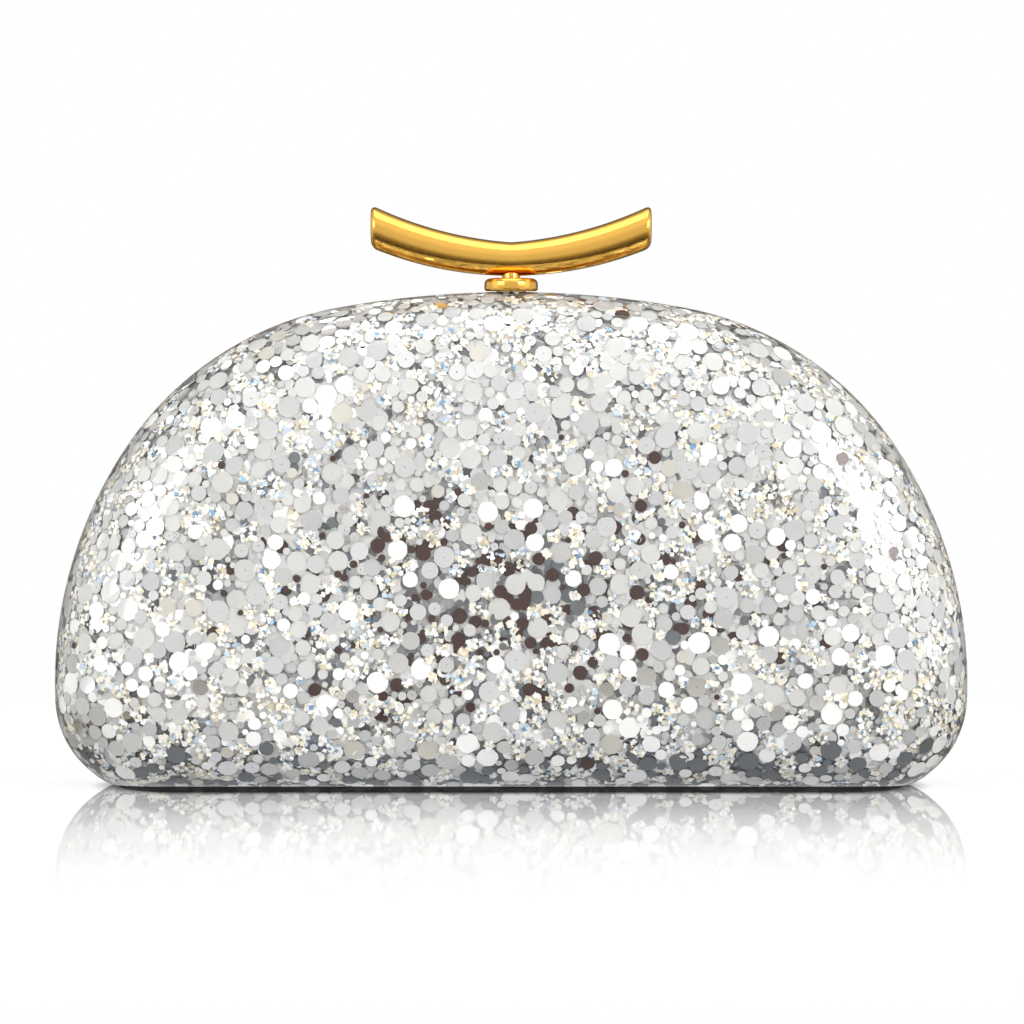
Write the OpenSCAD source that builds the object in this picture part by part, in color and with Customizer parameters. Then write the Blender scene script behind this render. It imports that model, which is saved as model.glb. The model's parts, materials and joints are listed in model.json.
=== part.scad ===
// Box clutch purse: two glitter resin half-shells on gold frames, hinged along the base,
// held shut by a spring catch that a curved turn bar on top releases.
// Frame: millimetres, +X across the width, front at -Y, +Z up, resting on z = 0.

/* [Case] */
// Overall width of the case
case_w = 210; // [205:1:215]
// Height of the case without the turn bar
case_h = 113.4; // [112.4:0.2:114.4]
// Overall depth of the closed case
case_d = 46; // [44:1:50]
// Thickness of the resin
wall = 3; // [2.6:0.2:3.2]
// Thickness of the padded lining
lining_t = 0.8; // [0.6:0.1:1.2]

/* [Frames] */
// Width of each metal frame, measured in from the edge of the case
frame_w = 7.5; // [7:0.1:8]
// Thickness of each metal frame
frame_t = 1.7; // [1.5:0.1:1.8]
// How far the frames sit inside the resin's edge
frame_recess = 0.4; // [0.3:0.1:0.5]

/* [Hinge] */
// Radius of the hinge knuckles
knuckle_r = 2; // [1.9:0.1:2]
// Radius of the hinge pin
pin_r = 0.9; // [0.7:0.1:1]
// Number of knuckles on the two leaves together
knuckles = 15; // [11:2:19]
// Length of one knuckle
knuckle_l = 12; // [8:1:12]

/* [Turn bar] */
// Length of the turn bar
bar_l = 64.6; // [60:0.2:70]
// Height of the bar's section at its middle
bar_mid_t = 7.8; // [7.4:0.1:8.4]
// Depth of the bar's section at its ends
bar_end_d = 8.9; // [8:0.1:9.6]
// Radius of the bar's top edge
bar_top_r = 71; // [68:1:76]
// Radius of the bar's bottom edge
bar_bottom_r = 83.5; // [80:0.5:90]
// Slope of each arm where they meet in a shallow crease
bar_crease = 0.02; // [0:0.01:0.06]
// Radius of the round stem
stem_r = 2.1; // [2:0.05:2.3]
// Radius of the round base that the stem turns in
base_r = 6.2; // [5.8:0.1:6.6]
// Height of the round base
base_h = 2.95; // [2.6:0.05:3.2]

/* [Hidden] */
$fn = 48;

// The outline is four tangent arcs a side: top, shoulder, side and bottom corner.
arc_r = [224, 75, 97, 22];
// Heading at the start of each arc: 0 is level at the top, 180 is level along the base.
arc_turn = [0, 10.2, 56, 92.6, 180];
arc_steps = [2, 8, 6, 9];
frame_detail = 3; // the frames are drawn with this many times the steps
base_dip = 1.8; // the bulged halves meet z = 0 in a flat as wide as this dip makes it
seam_gap = 0.15; // from the seam plane to each frame
shell_y = seam_gap + frame_t + 0.05; // where the resin starts
lining_first = 1; // the lining starts at this ring of the resin, past the metalwork
waist_z = 52; // height that the bulge closes towards
close_x = 0.55; // share of the width that the bulge closes by
bulge_n = 5; // how late the bulge turns flat
cap_angle = 87; // the face is flat inside this ring
shell_rings = 10;
lining_gap = 0.08;

hinge_z = 2.6;
bore_gap = 0.05; // radial clearance of pins and stems that turn
groove_y = knuckle_r + 0.6; // half width of the groove along the base
groove_top = hinge_z + knuckle_r + 0.4;
groove_x = 96;
leaf_t = 0.6;
leaf_y = seam_gap + frame_t; // the leaves lie against the frames
leaf_top = 8;
leaf_x = knuckles * knuckle_l / 2;
knuckle_gap = 0.25;
leaf_rivet_z = 6.5;
leaf_rivet_pitch = 34;
rivet_r = 0.8;
rivet_hole_r = 0.85;
rivet_head_r = 1.4;
rivet_head_t = 0.5;
rivet_start = 0.5;

// Clasp heights, from the top down
base_z = case_h + 0.1;
bar_z = base_z + base_h + 0.55; // underside of the bar at its middle
bar_mid_d = bar_mid_t;
bridge_top = 109;
bridge_bottom = 105.8;
bridge_x = 8; // half width of the block that carries the bushing
bridge_front = -3.7;
bridge_back = 4.2;
ear_x = 12.7;
ear_t = 1.4;
bushing_r = 3.4;
bushing_bottom = 103.9;
fit_gap = 0.05;
nut_t = 1.6;
nut_r = 4.9;
cam_top = 103.6;
cam_t = 2.4;
cam_hub_r = 2.6;
cam_reach = 4.9;
screw_head_r = 1.5;
plate_t = 0.4; // spring steel
keeper_t = 0.6;
catch_x = 3.3; // inner side of the spring's arm
catch_low = 97;
catch_mid = 100.5;
catch_high = 103.9;
foot_in = 13.2; // the riveted feet of the spring and the keeper
foot_out = 19;
foot_top = 109;
foot_rivet_z = 107.3;
foot_rivets = [14.7, 17.5];
slot_gap = 0.3;

// Heading and untrimmed place along the outline, worked out arc by arc
function arc_start(i) = i == 0 ? [0, 0] : arc_start(i - 1) + arc_r[i - 1]
  * [sin(arc_turn[i]) - sin(arc_turn[i - 1]), cos(arc_turn[i]) - cos(arc_turn[i - 1])];
function on_arc(i, a) = arc_start(i) + arc_r[i]
  * [sin(a) - sin(arc_turn[i]), cos(a) - cos(arc_turn[i])];
raw_w = on_arc(2, 90)[0];
raw_h = -arc_start(4)[1];
scale_x = case_w / 2 / raw_w;
scale_z = (case_h + base_dip) / raw_h;
function headings(detail) = [for (i = [0:3], j = [0:arc_steps[i] * detail - 1])
  [i, arc_turn[i] + (arc_turn[i + 1] - arc_turn[i]) * j / arc_steps[i] / detail]];
function inset_point(i, a, t) = let (p = on_arc(i, a))
  [p[0] * scale_x - t * sin(a), case_h + p[1] * scale_z - t * cos(a)];
// Right half of the outline, t inside the case's edge, then the whole loop
function half_outline(t, detail) = let (end = inset_point(3, 180, t))
  concat([for (h = headings(detail)) inset_point(h[0], h[1], t)],
    [end, [end[0] / 2, end[1]], [0, end[1]]]);
function mirrored(p) = concat(p, [for (i = [len(p) - 2:-1:1]) [-p[i][0], p[i][1]]]);
function outline(t, floor_z) = [for (p = mirrored(half_outline(t, frame_detail)))
  [p[0], max(p[1], floor_z)]];

// One ring of a bulged half: angle 0 is on the seam plane, 90 on the face
function bulge_ring(a, t, depth, floor_z) = let (k = pow(cos(a), 2 / bulge_n))
  [for (p = mirrored(half_outline(t, 1)))
    [p[0] * (1 - close_x * (1 - k)), depth * sin(a) / sin(cap_angle),
      max(floor_z, waist_z + k * (p[1] - waist_z))]];
function ring_angles(depth) = let (a0 = asin(shell_y * sin(cap_angle) / depth))
  [for (j = [0:shell_rings]) a0 + (cap_angle - a0) * j / shell_rings];
function flat_list(rings) = [for (r = rings) each r];

// A hollow bulged half that opens towards -Y, from its outer and inner insets and ring angles
module bulged_shell(t_out, t_in, angles_out, angles_in) {
  outer = [for (a = angles_out) bulge_ring(a, t_out, case_d / 2 - t_out, t_out)];
  inner = [for (a = angles_in) bulge_ring(a, t_in, case_d / 2 - t_in, t_in)];
  m = len(outer[0]);
  rings = len(outer) - 1;
  n = (rings + 1) * m; // the inner points follow the outer ones
  steps = [for (j = [0:rings - 1], i = [0:m - 1]) [j * m + i, j * m + (i + 1) % m]];
  outer_faces = [for (s = steps) each [[s[0], s[0] + m, s[1]], [s[1], s[0] + m, s[1] + m]]];
  inner_faces = [for (s = steps)
    each [[n + s[0], n + s[1], n + s[0] + m], [n + s[1], n + s[1] + m, n + s[0] + m]]];
  rim = [for (i = [0:m - 1]) let (j = (i + 1) % m) each [[i, j, n + i], [j, n + j, n + i]]];
  caps = [[for (i = [m - 1:-1:0]) rings * m + i], [for (i = [0:m - 1]) n + rings * m + i]];
  polyhedron(flat_list(concat(outer, inner)), concat(outer_faces, inner_faces, rim, caps), 12);
}

// A solid swept through rings of equal length
module loft(rings) {
  m = len(rings[0]);
  last = len(rings) - 1;
  sides = [for (j = [0:last - 1], i = [0:m - 1]) let (a = j * m + i, b = j * m + (i + 1) % m)
    each [[a, b, a + m], [b, b + m, a + m]]];
  polyhedron(flat_list(rings), concat(sides, [[for (i = [m - 1:-1:0]) i],
    [for (i = [0:m - 1]) last * m + i]]), 10);
}

// A plate in the X-Z plane from the outline between two insets
module frame_band() {
  translate([0, seam_gap + frame_t, 0]) rotate([90, 0, 0]) linear_extrude(frame_t)
    difference() {
      polygon(outline(frame_recess, frame_recess));
      polygon(outline(frame_w, frame_w + frame_recess));
    }
}

// A box between two corners
module block(low, high) {
  translate(low) cube(high - low);
}

// Room for the clasp, cut from what crosses the seam at the top
module clasp_room(y_low, y_high) {
  translate([0, 0, bushing_bottom]) cylinder(r = bushing_r + slot_gap, h = case_h);
  block([-bridge_x - slot_gap, y_low, bushing_bottom], [bridge_x + slot_gap, y_high, bridge_top + 0.1]);
}

// Room for the hinge, cut along the base
module hinge_room() {
  block([-groove_x, -groove_y, -1], [groove_x, groove_y, groove_top]);
}

module half_shell() {
  difference() {
    bulged_shell(0, wall, ring_angles(case_d / 2), ring_angles(case_d / 2 - wall));
    hinge_room();
    translate([0, 0, bushing_bottom]) cylinder(r = bushing_r + slot_gap, h = 20);
  }
}

module half_frame() {
  difference() {
    frame_band();
    hinge_room();
    clasp_room(-1, case_d);
    leaf_rivet_places() cylinder(r = rivet_hole_r, h = frame_t * 3, center = true);
    foot_rivet_places(1) cylinder(r = rivet_hole_r, h = frame_t * 3, center = true);
    foot_rivet_places(-1) cylinder(r = rivet_hole_r, h = frame_t * 3, center = true);
    ear_screw_places() cylinder(r = rivet_hole_r, h = frame_t * 3, center = true);
  }
}

// Each of these puts its children at the fixings' places, along +Y
module leaf_rivet_places() {
  for (i = [-2.5:1:2.5])
    translate([i * leaf_rivet_pitch, leaf_y, leaf_rivet_z]) rotate([-90, 0, 0]) children();
}
module foot_rivet_places(side) {
  for (x = foot_rivets)
    translate([side * x, leaf_y, foot_rivet_z]) rotate([-90, 0, 0]) children();
}
module ear_screw_places() {
  for (side = [-1, 1])
    translate([side * (bridge_x + ear_x) / 2, leaf_y, (bridge_top + bridge_bottom) / 2])
      rotate([-90, 0, 0]) children();
}

// Shank through the frame and a sheet of thickness t, with a low domed head
module rivet(t) {
  translate([0, 0, rivet_start - leaf_y]) cylinder(r = rivet_r, h = leaf_y - rivet_start + t);
  translate([0, 0, t]) cylinder(r1 = rivet_head_r, r2 = rivet_head_r * 0.7, h = rivet_head_t);
}

// Knuckles of one leaf: first is 0 or 1
module hinge_leaf(first) {
  difference() {
    union() {
      block([-leaf_x, leaf_y, groove_top], [leaf_x, leaf_y + leaf_t, leaf_top]);
      for (i = [first:2:knuckles - 1]) {
        x0 = -leaf_x + i * knuckle_l + knuckle_gap / 2;
        x1 = x0 + knuckle_l - knuckle_gap;
        translate([x0, 0, hinge_z]) rotate([0, 90, 0]) cylinder(r = knuckle_r, h = x1 - x0);
        block([x0, leaf_y - 0.15, hinge_z], [x1, leaf_y + leaf_t, groove_top]);
      }
    }
    translate([-leaf_x - 1, 0, hinge_z]) rotate([0, 90, 0])
      cylinder(r = pin_r + bore_gap, h = 2 * leaf_x + 2);
    leaf_rivet_places() cylinder(r = rivet_hole_r, h = 4, center = true);
  }
}

module back_shell() color([0.84, 0.84, 0.82]) half_shell();
module front_shell() color([0.84, 0.84, 0.82]) mirror([0, 1, 0]) half_shell();
module back_frame() color([0.92, 0.74, 0.32]) half_frame();
module front_frame() color([0.92, 0.74, 0.32]) mirror([0, 1, 0]) half_frame();
// The lining repeats the rings of the resin's inner face, so that their facets stay parallel
module lining() {
  angles = [for (j = [lining_first:shell_rings]) ring_angles(case_d / 2 - wall)[j]];
  bulged_shell(wall + lining_gap, wall + lining_gap + lining_t, angles, angles);
}
module back_lining() color([0.78, 0.76, 0.72]) lining();
module front_lining() color([0.78, 0.76, 0.72]) mirror([0, 1, 0]) lining();
module back_hinge_leaf() color([0.88, 0.70, 0.30]) hinge_leaf(0);
module front_hinge_leaf() color([0.88, 0.70, 0.30]) mirror([0, 1, 0]) hinge_leaf(1);
module back_hinge_rivets() color([0.80, 0.62, 0.25]) leaf_rivet_places() rivet(leaf_t);
module front_hinge_rivets() color([0.80, 0.62, 0.25]) mirror([0, 1, 0]) back_hinge_rivets();

// Pin with a peened head past each end knuckle
module hinge_pin() color([0.75, 0.75, 0.76]) {
  translate([-leaf_x, 0, hinge_z]) rotate([0, 90, 0]) cylinder(r = pin_r, h = 2 * leaf_x);
  for (side = [-1, 1]) translate([side * (leaf_x + 0.4), 0, hinge_z])
    rotate([0, 90, 0]) cylinder(r = pin_r * 1.6, h = 0.8, center = true);
}

// Round base with rounded edges, which hides the mouth of the bushing
module clasp_base() color([0.94, 0.77, 0.33]) translate([0, 0, base_z]) {
  top_round = 1.3;
  low_round = 0.4;
  rotate_extrude() difference() {
    union() {
      square([base_r - top_round, base_h]);
      translate([0, low_round]) square([base_r, base_h - top_round - low_round]);
      square([base_r - low_round, low_round]);
      translate([base_r - top_round, base_h - top_round]) circle(r = top_round);
      translate([base_r - low_round, low_round]) circle(r = low_round);
    }
    square([stem_r + 0.3, base_h * 3], center = true);
    translate([0, -1]) square([stem_r + 0.3, base_h * 2]);
    translate([0, -1]) square([bushing_r + fit_gap, 2.4]);
  }
}

// Block that holds the bushing on the seam, screwed to the back frame by two ears
module clasp_bridge() color([0.85, 0.67, 0.28]) difference() {
  union() {
    block([-bridge_x, bridge_front, bridge_bottom], [bridge_x, bridge_back, bridge_top]);
    block([-ear_x, leaf_y + 0.02, bridge_bottom], [ear_x, leaf_y + ear_t, bridge_top]);
  }
  translate([0, 0, bridge_bottom - 1]) cylinder(r = bushing_r + fit_gap, h = 20);
  ear_screw_places() cylinder(r = rivet_hole_r, h = 9, center = true);
}
module bridge_screws() color([0.80, 0.62, 0.25]) ear_screw_places() difference() {
  union() {
    translate([0, 0, rivet_start - leaf_y]) cylinder(r = rivet_r, h = leaf_y - rivet_start + ear_t);
    translate([0, 0, ear_t]) cylinder(r = screw_head_r, h = 0.8);
  }
  translate([-3, -0.2, ear_t + 0.4]) cube([6, 0.4, 1]);
}

module stem_bushing() color([0.83, 0.68, 0.36]) difference() {
  translate([0, 0, bushing_bottom]) cylinder(r = bushing_r, h = base_z + 1.3 - bushing_bottom);
  translate([0, 0, bushing_bottom - 1]) cylinder(r = stem_r + bore_gap, h = 20);
}
module bushing_nut() color([0.80, 0.80, 0.80]) difference() {
  translate([0, 0, bridge_bottom - 0.02 - nut_t]) cylinder(r = nut_r, h = nut_t, $fn = 6);
  translate([0, 0, bushing_bottom - 1]) cylinder(r = bushing_r + fit_gap, h = 20);
}

// Bent strip: a riveted foot, an arm across the seam and a nose behind the keeper
module catch_spring() color([0.72, 0.73, 0.75]) difference() {
  y0 = leaf_y + 0.02;
  union() {
    block([foot_in, y0, catch_low], [foot_out, y0 + plate_t, foot_top]);
    block([catch_x, y0, catch_low], [foot_in + 1, y0 + plate_t, catch_high]);
    block([catch_x, -3.4, catch_low], [catch_x + plate_t, y0 + plate_t, catch_high]);
    block([catch_x - 1.6, -3.4, catch_low], [catch_x + plate_t, -3, catch_mid]);
  }
  foot_rivet_places(1) cylinder(r = rivet_hole_r, h = 4, center = true);
}
module catch_rivets() color([0.80, 0.62, 0.25]) foot_rivet_places(1) rivet(plate_t + 0.02);

// Plate on the front frame whose free edge the nose of the spring holds
module keeper() color([0.80, 0.80, 0.80]) mirror([0, 1, 0]) difference() {
  y0 = leaf_y + 0.02;
  union() {
    block([-foot_out, y0, catch_low], [-foot_in, y0 + keeper_t, foot_top]);
    block([-foot_in - 1, y0, catch_low], [catch_x - 0.3, y0 + keeper_t, catch_mid - 0.5]);
  }
  foot_rivet_places(-1) cylinder(r = rivet_hole_r, h = 4, center = true);
}
module keeper_rivets() color([0.80, 0.62, 0.25])
  mirror([0, 1, 0]) foot_rivet_places(-1) rivet(keeper_t + 0.02);

// Top and bottom edges of the bar at x, and its section there, scaled by s about its middle
function bar_top(x) = bar_z + bar_mid_t + bar_crease * abs(x)
  + bar_top_r - sqrt(bar_top_r * bar_top_r - x * x);
function bar_bottom(x) = bar_z + bar_bottom_r - sqrt(bar_bottom_r * bar_bottom_r - x * x);
function bar_section(x, s) = let (mid = (bar_top(x) + bar_bottom(x)) / 2,
    high = (bar_top(x) - bar_bottom(x)) / 2 * s,
    deep = (bar_mid_d + (bar_end_d - bar_mid_d) * abs(x) * 2 / bar_l) / 2 * s)
  [for (a = [0:15:345]) [x, deep * cos(a), mid + high * sin(a)]];
module turn_bar() color([0.96, 0.78, 0.34]) difference() {
  end_round = 0.9;
  straight = bar_l / 2 - end_round;
  tips = [for (a = [90:-22.5:22.5]) [straight + end_round * sin(a), 1 - (1 - cos(a)) * end_round / 4.5]];
  loft(concat([for (t = tips) bar_section(-t[0], t[1])],
    [for (i = [-9:9]) bar_section(straight * i / 9, 1)],
    [for (i = [len(tips) - 1:-1:0]) bar_section(tips[i][0], tips[i][1])]));
  translate([0, 0, bar_z - 1]) cylinder(r = stem_r + fit_gap, h = 4.6);
}

// Stem with a shoulder that carries the bar and a reduced end for the cam
module stem() color([0.92, 0.74, 0.32]) {
  translate([0, 0, cam_top]) cylinder(r = stem_r, h = bar_z + 3.5 - cam_top);
  difference() {
    translate([0, 0, cam_top - cam_t]) cylinder(r = stem_r * 0.7, h = cam_t + 0.1);
    translate([0, 0, cam_top - cam_t - 1]) cylinder(r = 0.55, h = 4);
  }
}
module stem_washer() color([0.75, 0.75, 0.76]) difference() {
  translate([0, 0, cam_top + 0.02]) cylinder(r = cam_hub_r + 0.4, h = 0.22);
  cylinder(r = stem_r + fit_gap, h = 200);
}
// Eccentric lobe that faces the front when shut and presses the spring aside at a quarter turn
module release_cam() color([0.83, 0.68, 0.36]) translate([0, 0, cam_top - cam_t]) difference() {
  union() {
    cylinder(r = cam_hub_r, h = cam_t - 0.02);
    translate([-1.6, 1.5 - cam_reach, 0]) cube([3.2, cam_reach - 1.5, cam_t - 0.02]);
    translate([0, 1.6 - cam_reach, 0]) cylinder(r = 1.6, h = cam_t - 0.02);
  }
  translate([0, 0, -1]) cylinder(r = stem_r * 0.7 + fit_gap, h = 9);
}
module cam_screw() color([0.75, 0.75, 0.76]) translate([0, 0, cam_top - cam_t]) difference() {
  union() {
    cylinder(r = 0.5, h = 1.8);
    translate([0, 0, -0.9]) cylinder(r = stem_r, h = 0.88);
    translate([0, 0, -0.03]) cylinder(r = 0.5, h = 0.04);
  }
  translate([-3, -0.2, -1.5]) cube([6, 0.4, 1]);
}

back_shell();
back_frame();
back_lining();
back_hinge_leaf();
back_hinge_rivets();
hinge_pin();
clasp_base();
clasp_bridge();
bridge_screws();
stem_bushing();
bushing_nut();
catch_spring();
catch_rivets();
front_shell();
front_frame();
front_lining();
front_hinge_leaf();
front_hinge_rivets();
keeper();
keeper_rivets();
turn_bar();
stem();
stem_washer();
release_cam();
cam_screw();
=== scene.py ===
"""Looks of a box clutch purse: clear resin half-shells full of silver glitter, with a gold turn bar.

Laid out as an add-on. Run as a script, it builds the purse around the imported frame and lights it.
"""

import json
import math

import bmesh
import bpy
import numpy as np
from bpy.props import FloatProperty, FloatVectorProperty, IntProperty, PointerProperty
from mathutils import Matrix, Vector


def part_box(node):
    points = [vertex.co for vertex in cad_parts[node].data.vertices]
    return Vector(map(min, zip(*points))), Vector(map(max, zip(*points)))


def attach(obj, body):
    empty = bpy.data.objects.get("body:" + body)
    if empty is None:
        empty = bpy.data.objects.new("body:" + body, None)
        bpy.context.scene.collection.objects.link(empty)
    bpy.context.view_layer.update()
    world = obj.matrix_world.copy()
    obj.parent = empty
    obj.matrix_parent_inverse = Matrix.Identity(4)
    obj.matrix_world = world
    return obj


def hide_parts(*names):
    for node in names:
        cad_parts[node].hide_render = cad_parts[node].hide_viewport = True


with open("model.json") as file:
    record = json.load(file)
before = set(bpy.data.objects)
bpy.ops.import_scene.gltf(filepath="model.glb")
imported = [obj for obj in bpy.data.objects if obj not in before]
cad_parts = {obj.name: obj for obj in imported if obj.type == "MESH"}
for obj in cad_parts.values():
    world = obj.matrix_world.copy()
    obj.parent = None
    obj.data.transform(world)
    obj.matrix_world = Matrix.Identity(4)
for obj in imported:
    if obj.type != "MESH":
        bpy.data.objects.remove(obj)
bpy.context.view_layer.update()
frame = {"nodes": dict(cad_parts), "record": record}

bl_info = {
    "name": "Glitter box clutch",
    "version": (1, 0, 0),
    "blender": (4, 5, 0),
    "location": "View3D > Sidebar > Clutch",
    "description": "Builds the resin, glitter, lining, metalwork and studio of a box clutch purse",
    "category": "Object",
}

MM = 0.001
HALVES = {"front": -1, "back": 1}  # which side of the seam each half's body lies

# The outline is four tangent arcs a side, from the middle of the top down to the base.
ARC_RADII = (224 * MM, 75 * MM, 97 * MM, 22 * MM)
ARC_TURNS = tuple(math.radians(a) for a in (0, 10.2, 56, 92.6, 180))
BASE_DIP = 1.8 * MM  # how far below the table the outline would run if it weren't cut flat
WAIST_Z = 52 * MM  # height that the bulge closes towards
CLOSE_X = 0.55  # share of the width that the bulge closes by
BULGE_POWER = 2 / 5
CAP_ANGLE = math.radians(87)  # the face is flat inside this ring
SEAM_Y = 1.9 * MM  # where the resin starts
WALL = 3 * MM
GROOVE_Y = 2.6 * MM  # half width of the hinge's groove along the base
GROOVE_X = 96 * MM
GROOVE_TOP = 5 * MM
BUSHING_ROOM = 3.7 * MM
BUSHING_DROP = 12 * MM  # how far down from the top the bushing's room goes
RESIN_SKIN = 2.4 * MM  # depth of the clear resin
BED_TOP = 1.9 * MM  # depth at which the bed of glitter starts
HAIR = 0.1 * MM  # least room between neighbouring pieces
LINING_GAP, LINING_DEPTH = 0.12 * MM, 0.85 * MM  # from the wall to the satin's two sides
LINING_START = 4.9 * MM  # the satin stops this far from the seam
DARK_REFLECTION_X, DARK_REFLECTION_Z = -2 * MM, 43 * MM  # middle of the painted dark reflection: dark flakes on the front stand in for the camera mirrored in the face
DARK_REFLECTION_HALF_WIDTH, DARK_REFLECTION_HALF_HEIGHT = 41 * MM, 18 * MM
DARK_REFLECTION_SHARE, STRAY_SHARE, BROWN_SHARE = 0.84, 0.012, 0.7
DARK_REFLECTION_LARGEST = 1.8 * MM  # only flakes of a smaller radius are dark
SEAM_THIN, SEAM_SHARE = 10 * MM, 0.15  # the resin clears within this of the seam, down to this share
# slate flakes round the base: a painted reflection of the table's shade
BASE_REFLECTION_TOP, BASE_REFLECTION_FADE, BASE_REFLECTION_SHARE = 11 * MM, 5 * MM, 0.42
LOW_LIGHT_TOP, LOW_LIGHT_FADE, LOW_LIGHT_SHARE = 36 * MM, 24 * MM, 0.28  # white discs that paint light on the low part of the case
BASE_HALF, SHADE_SQUEEZE = 74 * MM, 2.0  # half the flat base; its shade fades faster past the ends
TIGHTEST_BULGE = 9 * MM  # radius of the case's tightest curve
MIRROR = 2  # place of the mirror foil in the round flakes' foils
PEARL = 3  # place of the white film there
BROWN, SLATE = 5, 6  # places of the dark foils there
DIMPLE = 6  # place of the grey foil in the crumbs' foils, whose grey paints the reflection of the mirrors' dimples
DISC_WIDTHS = np.array([2.4, 2.9, 3.4, 4.0, 4.8]) * MM
DISC_SHARES = [0.16, 0.26, 0.30, 0.20, 0.08]
DISC_THICKNESS, CRUMB_THICKNESS = 0.08 * MM, 0.05 * MM
CREASE_ROUND = 0.3 * MM  # how softly the bar's crease turns
CROWDING = 0.93  # least distance between discs, as a share of their two radii
DIMPLED_SHARE = 0.6  # share of the mirrors that have a dimple, painted as a grey pip
CRUMBS_EACH = 20  # broken flakes in each cluster
CRUMB_LEAN = math.radians(20)


def linear(hex_code):
    """An sRGB hex colour as linear RGBA."""
    parts = [int(hex_code[i:i + 2], 16) / 255 for i in (1, 3, 5)]
    return tuple(c / 12.92 if c <= 0.04045 else ((c + 0.055) / 1.055) ** 2.4 for c in parts) + (1.0,)


# --------------------------------------------------------------------------- shape of the case

def arc_point(i, turn):
    """Place along arc i at a heading, before the outline is fitted to the case's size."""
    x, z = 0.0, 0.0
    for j in range(i):
        x += ARC_RADII[j] * (math.sin(ARC_TURNS[j + 1]) - math.sin(ARC_TURNS[j]))
        z += ARC_RADII[j] * (math.cos(ARC_TURNS[j + 1]) - math.cos(ARC_TURNS[j]))
    x += ARC_RADII[i] * (math.sin(turn) - math.sin(ARC_TURNS[i]))
    z += ARC_RADII[i] * (math.cos(turn) - math.cos(ARC_TURNS[i]))
    return x, z


def outline(sizes, inset, spacing):
    """The case's closed outline as (x, z) points, inset from its edge and about spacing apart."""
    fit_x = sizes.case_width / 2 / arc_point(2, math.pi / 2)[0]
    fit_z = (sizes.case_height + BASE_DIP) / -arc_point(3, math.pi)[1]
    right = []
    for i, radius in enumerate(ARC_RADII):
        span = ARC_TURNS[i + 1] - ARC_TURNS[i]
        steps = math.ceil(radius * span / spacing)
        for turn in ARC_TURNS[i] + span * np.arange(steps) / steps:
            x, z = arc_point(i, turn)
            right.append((x * fit_x - inset * math.sin(turn),
                          sizes.case_height + z * fit_z - inset * math.cos(turn)))
    end_x, end_z = arc_point(3, math.pi)
    end_x, end_z = end_x * fit_x, sizes.case_height + end_z * fit_z + inset
    steps = math.ceil(end_x / spacing)
    right += [(end_x * (1 - s / steps), end_z) for s in range(steps + 1)]
    left = [(-x, z) for x, z in right[-2:0:-1]]
    return np.array(right + left)


def bulge_ring(loop, close, y, floor):
    """One ring of a half: close is 1 at the seam and 0 where the bulge would shut."""
    x = loop[:, 0] * (1 - CLOSE_X * (1 - close))
    z = np.maximum(floor, WAIST_Z + close * (loop[:, 1] - WAIST_Z))
    return np.stack([x, np.full(len(loop), y), z], 1)


def half_grid(sizes, inset, start_y, rings, spacing, flat_rings=0):
    """Rings of a half's surface at an inset, from start_y to the face: [ring, point, xyz], y positive."""
    loop = outline(sizes, inset, spacing)
    depth = sizes.case_depth / 2 - inset
    start = math.asin(start_y * math.sin(CAP_ANGLE) / depth)
    grid = []
    for angle in np.linspace(start, CAP_ANGLE, rings):
        y = depth * math.sin(angle) / math.sin(CAP_ANGLE)
        grid.append(bulge_ring(loop, math.cos(angle) ** BULGE_POWER, y, inset))
    last = math.cos(CAP_ANGLE) ** BULGE_POWER
    for step in range(1, flat_rings + 1):
        grid.append(bulge_ring(loop, last * (1 - step / flat_rings), depth, inset))
    return np.array(grid)


def make_room(points, clearance=0.0):
    """Moves points near the seam back from the hinge's groove and the clasp's bushing."""
    x, y, z = points[..., 0], points[..., 1], points[..., 2]
    by_groove = (z < GROOVE_TOP) & (np.abs(x) < GROOVE_X)
    y = np.where(by_groove, np.maximum(y, GROOVE_Y + clearance), y)
    reach = BUSHING_ROOM + clearance
    by_bushing = (z > z.max() - BUSHING_DROP) & (np.abs(x) < reach)
    round_y = np.sqrt(np.maximum(0, reach ** 2 - x ** 2))
    y = np.where(by_bushing, np.maximum(y, round_y), y)
    return np.stack([x, y, z], -1)


def grid_faces(rings, count, first=0, flip=False):
    """Quads between neighbouring closed rings of count points."""
    faces = []
    for j in range(rings - 1):
        for i in range(count):
            a, b = first + j * count + i, first + j * count + (i + 1) % count
            quad = (a, a + count, b + count, b)
            faces.append(quad[::-1] if flip else quad)
    return faces


def new_piece(name, vertices, faces, material, smooth=True):
    """A mesh object in the scene, with one material."""
    mesh = bpy.data.meshes.new(name)
    mesh.from_pydata([tuple(v) for v in vertices], [], faces)
    mesh.materials.append(material)
    mesh.polygons.foreach_set("use_smooth", [smooth] * len(mesh.polygons))
    mesh.update()
    piece = bpy.data.objects.new(name, mesh)
    bpy.context.scene.collection.objects.link(piece)
    return piece


def hollow_half(name, side, outer, inner, material):
    """A closed solid between two grids of a half, joined by a rim at the seam."""
    rings, count = outer.shape[:2]
    low = inner.shape[0]
    vertices = np.concatenate([outer.reshape(-1, 3), inner.reshape(-1, 3)])
    vertices = vertices * np.array([1, side, 1])
    flip = side > 0
    offset = rings * count
    faces = grid_faces(rings, count, 0, flip) + grid_faces(low, count, offset, not flip)
    outer_cap = [(rings - 1) * count + i for i in range(count)]
    inner_cap = [offset + (low - 1) * count + i for i in range(count)]
    faces.append(tuple(outer_cap if flip else outer_cap[::-1]))
    faces.append(tuple(inner_cap[::-1] if flip else inner_cap))
    for i in range(count):
        quad = (i, (i + 1) % count, offset + (i + 1) % count, offset + i)
        faces.append(quad[::-1] if flip else quad)
    return new_piece(name, vertices, faces, material)


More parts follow.
